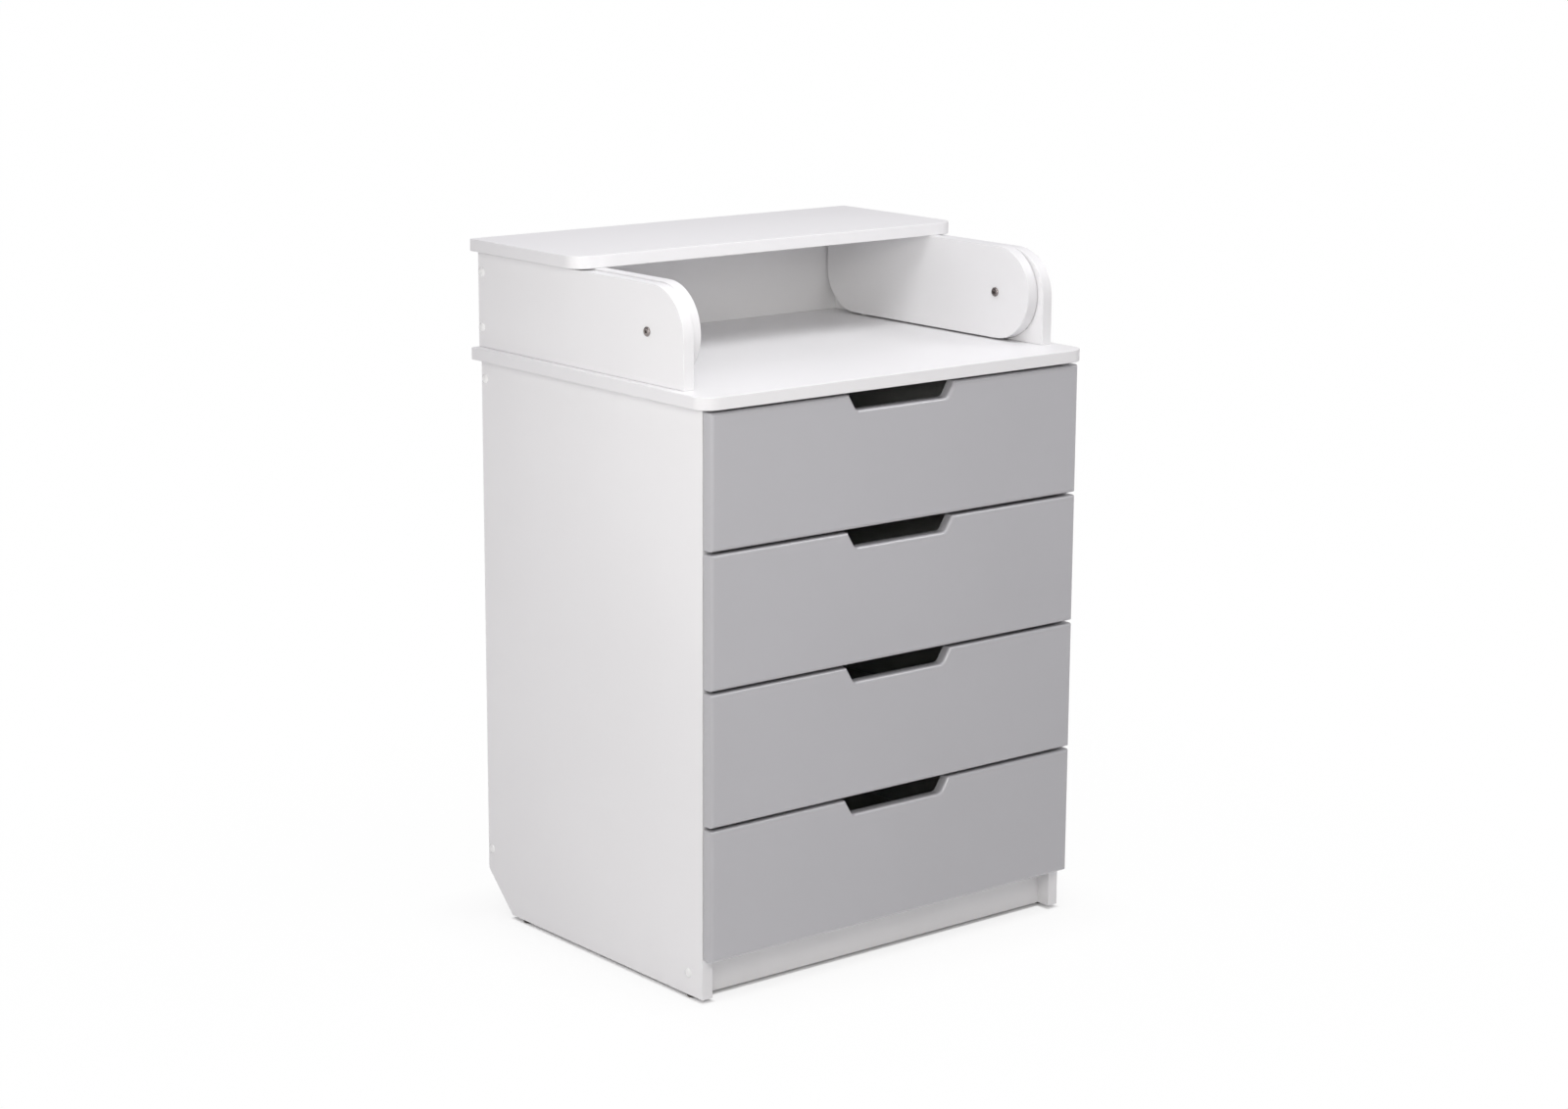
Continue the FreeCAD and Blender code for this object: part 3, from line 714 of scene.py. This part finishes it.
# %% Caps, bolts and glides
swing = next(joint for joint in frame["joints"] if joint["name"] == "flip_top_swing")
pivot = Vector(swing["pos_m"])
sleeve_seat = 0.2662
cap_profile = [(0.0062, 0.0), (0.0062, 0.0006), (0.0059, 0.0012), (0.0053, 0.0017),
               (0.0043, 0.0021), (0.0030, 0.0024), (0.0012, 0.0025)]
head_profile = [(0.0058, 0.0), (0.0060, 0.0003), (0.0060, 0.0012), (0.0054, 0.0020),
                (0.0042, 0.0024), (0.0032, 0.0025), ((hexagon, 0.0020), 0.0024),
                ((hexagon, 0.0020), 0.0007)]
washer_profile = [(0.0088, 0.0), (0.0090, 0.0002), (0.0090, 0.0011), (0.0088, 0.0013)]
glide_profile = [(0.0070, 0.0), (0.0070, 0.0028), (0.0066, 0.0036), (0.0058, 0.0040)]


def on_side(places, sign, x):
    """The places on one side of the dresser, moved to that side's face at x."""
    return [(sign * x, p[1], p[2]) for p in places if p[0] * sign > 0]


for side, sign in sides:
    turned("fine_caps_" + side, "carcass", "white_plastic", cap_profile,
           on_side(cap_places, sign, outer_face), (sign, 0, 0), ("screw_caps",) if sign < 0 else ())
for side, sign in sides:
    for name, slot, profile, x, way, node in (
            ("fine_bolt_", "nickel", head_profile, outer_face, sign, "pivot_bolts"),
            ("fine_sleeve_head_", "nickel", head_profile, sleeve_seat, -sign, "pivot_sleeves"),
            ("fine_washer_", "white_plastic", washer_profile, inner_face, -sign,
             "pivot_washers")):
        turned(name + side, "carcass", slot, profile, [(sign * x, pivot.y, pivot.z)], (way, 0, 0),
               (node,) if sign < 0 else ())
glide_top = round(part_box("glides")[1].z, 4)
turned("fine_glides", "carcass", "glide_plastic", glide_profile,
       [(p[0], p[1], glide_top) for p in glide_places], (0, 0, -1), ("glides",))
print("pivot", [round(v, 5) for v in pivot], "glides from", glide_top)

# %% [markdown]
# ## Cams
# Cams are zinc discs set into the inner faces of the boards; a turn of them pulls the bolt tight.
# They have a cross slot, which is a ring of the turned shape that follows the cross.

# %% Cams
cam_profile = [(0.0074, 0.0), (0.0075, 0.0004), (0.0072, 0.0007), ((cross, 0.0044), 0.0007),
               ((cross, 0.0040), 0.00015)]
for side, sign in sides:
    turned("fine_cams_" + side, "carcass", "zinc_steel", cam_profile,
           on_side(cam_places, sign, inner_face), (-sign, 0, 0), ("cams",) if sign < 0 else ())
print("cams placed", len(cam_places))

# %% [markdown]
# ## Screws and nails
# The runners are held by flat-headed screws through their webs, and the hardboard by small round
# nails along its edge. All are turned shapes again, and each lot is one object with the same small
# shape set in many places, with fewer steps round it because it is small.

# %% Runner screws and nails
screw_profile = [(0.0010, 0.0), (0.0030, 0.0), (0.0035, 0.0003), (0.0034, 0.0008),
                 (0.0026, 0.0013), ((cross, 0.0020), 0.0014), ((cross, 0.0012), 0.0005)]
nail_profile = [(0.0022, 0.0), (0.0024, 0.0002), (0.0018, 0.0006), (0.0006, 0.0008)]
small_turns = 16
screw_inset, nail_inset_x, nail_inset_z = 0.030, 0.008, 0.010

runner_low, runner_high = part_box("cabinet_runners_left")
screw_rows = np.linspace(runner_low.y + screw_inset, runner_high.y - screw_inset, 4)
cabinet_web = inner_face - sheet_steel
drawer_web = inner_face - drawer_size["web"] + sheet_steel
for side, sign in sides:
    places = [(sign * cabinet_web, y, runner_height(number))
              for number in drawers for y in screw_rows]
    turned("runner_screws_" + side, "carcass", "zinc_steel", screw_profile, places, (-sign, 0, 0),
           turns=small_turns)
    for number in drawers:
        places = [(sign * drawer_web, y, runner_height(number)) for y in screw_rows]
        turned("drawer_%d_screws_%s" % (number, side), "drawer_%d" % number, "zinc_steel",
               screw_profile, places, (sign, 0, 0), turns=small_turns)

low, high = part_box("back_panel")
columns = np.linspace(low.x + nail_inset_x, high.x - nail_inset_x, 7)
rows = np.linspace(low.z + nail_inset_z, high.z - nail_inset_z, 8)
nails = [(x, high.y, z) for x in columns for z in (rows[0], rows[-1])]
nails += [(x, high.y, z) for x in (columns[0], columns[-1]) for z in rows[1:-1]]
turned("back_nails", "carcass", "zinc_steel", nail_profile, nails, (0, 1, 0), turns=small_turns)
print("screw rows", len(screw_rows), "nails", len(nails))

# %% [markdown]
# ## Balls and ball cages
# Each row of 3 mm balls sits in a strip of thin sheet, the cage, which keeps the balls apart. The
# outer rows run between the fixed and the middle member, and the inner rows between the middle
# member and the drawer's. Cages are folded sections like the members, and the balls are spheres of
# a few faces: point(i, a) = centre + r (sin t cos a, sin t sin a, cos t).

# %% Ball rows
ball_radius = 0.0015
pole_gap = 0.18  # angle left open at each pole, closed by a small flat cap
tilt = np.linspace(pole_gap, math.pi - pole_gap, 5)
ball_profile = [(ball_radius * math.sin(t), -ball_radius * math.cos(t)) for t in tilt]
cage_length, ball_inset, balls_in_row = 0.200, 0.012, 12
cage_sheet = 0.0005
middle = (runner_low.y + runner_high.y) / 2
ball_rows = (  # cage, its near end, balls from the panel and from the middle height, cage's size
    ("outer_cage", middle, 0.0068, 0.0197, {"web": 0.0019, "reach": 0.0080,
                                            "half_height": 0.01995, "lip": 0.0}),
    ("inner_cage", runner_low.y, 0.0086, 0.0153, {"web": 0.0056, "reach": 0.0098,
                                                  "half_height": 0.01555, "lip": 0.0}))

for number in drawers:
    body = "runner_%d" % number
    height = runner_height(number)
    for side, sign in sides:
        places = [(sign * (inner_face - x), y, height + way * half)
                  for cage, near, x, half, size in ball_rows
                  for y in np.linspace(near + ball_inset, near + cage_length - ball_inset,
                                       balls_in_row)
                  for way in (-1, 1)]
        turned("balls_%d_%s" % (number, side), body, "zinc_steel", ball_profile, places, (0, 0, 1),
               turns=8)
        for cage, near, x, half, size in ball_rows:
            board("%s_%d_%s" % (cage, number, side), body, "zinc_steel",
                  folded_section(height, sign, sheet=cage_sheet, **size), "y", near,
                  near + cage_length, 0.0001, 0.0001, steps=2, replaced=())
print("balls in a runner", len(places))

# %% [markdown]
# ## The floor
# The floor shows as nearly white to the camera but still takes the soft shadow: a share of plain
# white glow is mixed into it for the rays that show a background. The share grows with the
# distance from the object, so that the floor is a little darker close to it and dark in the thin
# gap under its boards. A shadow catcher would need a compositor to put white behind it, and this
# works in any view.

# %% Distances on the floor
def vector_step(tree, operation, *values):
    node = tree.nodes.new("ShaderNodeVectorMath")
    node.operation = operation
    feed_all(tree, node.inputs, values)
    return node.outputs["Value" if operation == "LENGTH" else "Vector"]


def beyond(tree, place, middle, half):
    """How far a point lies outside a rectangle: the length of max(|place - middle| - half, 0)."""
    place = vector_step(tree, "SUBTRACT", place, middle)
    place = vector_step(tree, "ABSOLUTE", place)
    place = vector_step(tree, "SUBTRACT", place, half)
    place = vector_step(tree, "MAXIMUM", place, (0, 0, 0))
    return vector_step(tree, "LENGTH", place)


def distance(tree, value, middle, half):
    """How far a value lies outside the stretch middle - half to middle + half."""
    away = calculate(tree, "ABSOLUTE", calculate(tree, "SUBTRACT", value, middle))
    return calculate(tree, "SUBTRACT", away, half)


# %% [markdown]
# ## How much white the floor shows
# The floor has to know what stands on it. A rectangle stands for the whole dresser, one for the
# carcass that comes down to the floor, and two short stretches for the feet of the sides in front
# of the plinth. Each step adds its share of white over a stretch of the distance from one of them.

# %% Share of white
whole_middle, whole_half = (-0.006, -0.006, 0.0), (0.300, 0.225, 0.0)
carcass_middle, carcass_half = (0.0, -0.0095, 0.0), (0.300, 0.1955, 0.0)
panel_middle, panel_half = 0.292, 0.008  # across, on either side
foot_middle, foot_half = -0.215, 0.010   # from front to back


def glow_share(tree, place):
    """The sum of the shares that run from one value to another over a stretch of a distance."""
    whole = beyond(tree, place, whole_middle, whole_half)
    carcass = beyond(tree, place, carcass_middle, carcass_half)
    split = tree.nodes.new("ShaderNodeSeparateXYZ")
    feed(tree, split.inputs[0], place)
    either_side = calculate(tree, "ABSOLUTE", split.outputs["X"])
    across = distance(tree, either_side, panel_middle, panel_half)
    along = distance(tree, split.outputs["Y"], foot_middle, foot_half)
    feet = calculate(tree, "MAXIMUM", across, along)
    under = calculate(tree, "MINIMUM", carcass, feet)
    share = spread(tree, whole, 0.0, 0.11, 0.07, 0.20)
    for step in ((whole, 0.11, 0.9, 0.0, 0.028), (under, 0.0, 0.003, 0.0, 0.70),
                 (carcass, 0.0, 0.030, 0.0, 0.07)):
        share = calculate(tree, "ADD", share, spread(tree, *step))
    return share


# %% [markdown]
# ## Showing one thing to the camera and another to the lamps
# Light Path says what kind of ray asks for a colour. Where the camera asks, the studio is white,
# and where a surface gathers light, it gets the plain level. Mirrors show the white floor too, but
# not a white world, because the satin tops would mirror that and clip. The world and the floor are
# mixed in the same way, so both go through these helpers.

# %% Helpers for rays
def rays(tree, *kinds):
    """1 for a ray of one of these kinds and 0 for the others."""
    path = tree.nodes.new("ShaderNodeLightPath")
    seen = path.outputs[kinds[0]]
    for kind in kinds[1:]:
        seen = calculate(tree, "MAXIMUM", seen, path.outputs[kind])
    return seen


def show(tree, factor, plain, seen, surface):
    """Mixes two shaders by a factor and gives the mix to the output's surface."""
    blend = tree.nodes.new("ShaderNodeMixShader")
    feed_all(tree, blend.inputs, (factor, plain.outputs[0], seen.outputs[0]))
    feed(tree, surface, blend.outputs[0])


# %% [markdown]
# ## The floor itself
# It is one large quad, far wider than the lamps reach, so that its end lies far off in any view.
# Its colour is slightly cloudy, as painted studio floors are.

# %% Floor
def ground(size=40.0):
    mesh = bpy.data.meshes.new("floor")
    mesh.from_pydata([(-size, -size, 0), (size, -size, 0), (size, size, 0), (-size, size, 0)], [],
                     [(0, 1, 2, 3)])
    thing = bpy.data.objects.new("floor", mesh)
    bpy.context.scene.collection.objects.link(thing)
    material = bpy.data.materials.new("white_studio_floor")
    material.use_nodes = True
    tree = material.node_tree
    shader = tree.nodes["Principled BSDF"]
    shader.inputs["Roughness"].default_value = 0.9
    shader.inputs["Specular IOR Level"].default_value = 0.1
    place = tree.nodes.new("ShaderNodeTexCoord").outputs["Object"]
    cloudy = mix_colour(tree, noise(tree, place, 1.5, 3.0), (0.95, 0.95, 0.95, 1),
                        (0.93, 0.93, 0.93, 1))
    feed(tree, shader.inputs["Base Color"], cloudy)
    seen = rays(tree, "Is Camera Ray", "Is Glossy Ray", "Is Transmission Ray")
    factor = calculate(tree, "MULTIPLY", seen, glow_share(tree, place))
    show(tree, factor, shader, tree.nodes.new("ShaderNodeEmission"),
         tree.nodes["Material Output"].inputs["Surface"])
    mesh.materials.append(material)


ground()
print("floor ready")

# %% [markdown]
# ## Light
# The photograph was taken in a white studio: soft lamps above and from the left, and white surfaces
# all round. A small lamp close to the left side makes that side brighter towards its front, and one
# above on the right is mirrored as a thin line in the rounded edges of the fronts. A low lamp
# lights the rear: it stays below the tops, because they would mirror it. Sun lamps would be
# simpler, but their shadows have one softness everywhere, and discs of light do not.

# %% World and lamps
world = bpy.data.worlds.new("studio")
bpy.context.scene.world = world
world.use_nodes = True
room = world.node_tree.nodes["Background"]
room.inputs["Color"].default_value = (0.955, 0.93, 0.945, 1)
room.inputs["Strength"].default_value = 0.45
white = world.node_tree.nodes.new("ShaderNodeBackground")
white.inputs["Color"].default_value = (1, 1, 1, 1)
show(world.node_tree, rays(world.node_tree, "Is Camera Ray", "Is Transmission Ray"), room, white,
     world.node_tree.nodes["World Output"].inputs["Surface"])


def lamp(name, place, target, size, power, colour=(1, 1, 1)):
    data = bpy.data.lights.new(name, "AREA")
    data.shape = "DISK"
    data.size = size
    data.energy = power
    data.color = colour
    thing = bpy.data.objects.new(name, data)
    thing.location = place
    thing.rotation_euler = (Vector(target) - Vector(place)).to_track_quat("-Z", "Y").to_euler()
    thing.visible_camera = False
    bpy.context.scene.collection.objects.link(thing)


lamp("left_softbox", (-1.4, -0.7, 1.85), (-0.2, -0.1, 0.7), 0.8, 1.6)
lamp("near_left_lamp", (-0.9, -0.2, 0.85), (-0.3, -0.15, 0.55), 0.5, 1.0)
lamp("left_front_softbox", (-1.3, -1.5, 1.3), (-0.2, -0.2, 0.7), 0.7, 11.8, (1.0, 0.99, 0.94))
lamp("near_top_softbox", (-0.2, -0.6, 2.0), (0, 0, 0.8), 0.8, 9.3, (0.98, 0.99, 1.0))
lamp("rear_top_softbox", (-0.4, 1.4, 2.4), (0, 0, 0.8), 1.2, 5.0, (0.90, 0.88, 1.0))
lamp("rear_right_softbox", (1.7, 2.1, 0.5), (0.1, 0, 0.45), 0.7, 10.0)
lamp("right_top_softbox", (1.12, -0.71, 1.95), (0, -0.2, 0.6), 0.76, 6.0)
print("lamps", len(bpy.data.lights))

# %% [markdown]
# ## Camera
# The photograph's own lines give the place, direction and lens of the camera. It looks down a
# little, and no lens shift is used, so that views from other sides stay centred. Its direction is
# written as three angles, because they say more to a reader than a quaternion.

# %% Camera
camera_place = (-2.61621, -3.22921, 1.41521)
yaw, pitch, roll = (math.radians(angle) for angle in (39.1028, 12.6104, 0.3029))
frame_width = 1600      # pixels of the photograph
focal_length = 3329.11  # in the same pixels
sensor = 36             # millimetres


def aim(place, yaw, pitch, roll, lens):
    """Right, up and back vectors: yaw turns from +Y towards +X, pitch looks down, roll tilts."""
    ahead = np.array([math.sin(yaw), math.cos(yaw), 0])
    right = np.array([math.cos(yaw), -math.sin(yaw), 0])
    up = np.array([0, 0, 1.0])
    forward = ahead * math.cos(pitch) - up * math.sin(pitch)
    top = up * math.cos(pitch) + ahead * math.sin(pitch)
    rolled_right = right * math.cos(roll) + top * math.sin(roll)
    rolled_top = top * math.cos(roll) - right * math.sin(roll)
    data = bpy.data.cameras.new("camera")
    data.sensor_fit = "HORIZONTAL"
    data.sensor_width = sensor
    data.lens = lens
    data.clip_end = 200
    thing = bpy.data.objects.new("camera", data)
    axes = Matrix((rolled_right, rolled_top, -forward)).transposed().to_4x4()
    thing.matrix_world = Matrix.Translation(Vector(place)) @ axes
    bpy.context.scene.collection.objects.link(thing)
    bpy.context.scene.camera = thing


aim(camera_place, yaw, pitch, roll, focal_length / frame_width * sensor)
bpy.context.scene.view_settings.view_transform = "Standard"
print("lens", round(bpy.context.scene.camera.data.lens, 2), "mm")

# %% [markdown]
# ## Last update
# The view layer is brought up to date once more at the end.

# %% Last update
bpy.context.view_layer.update()
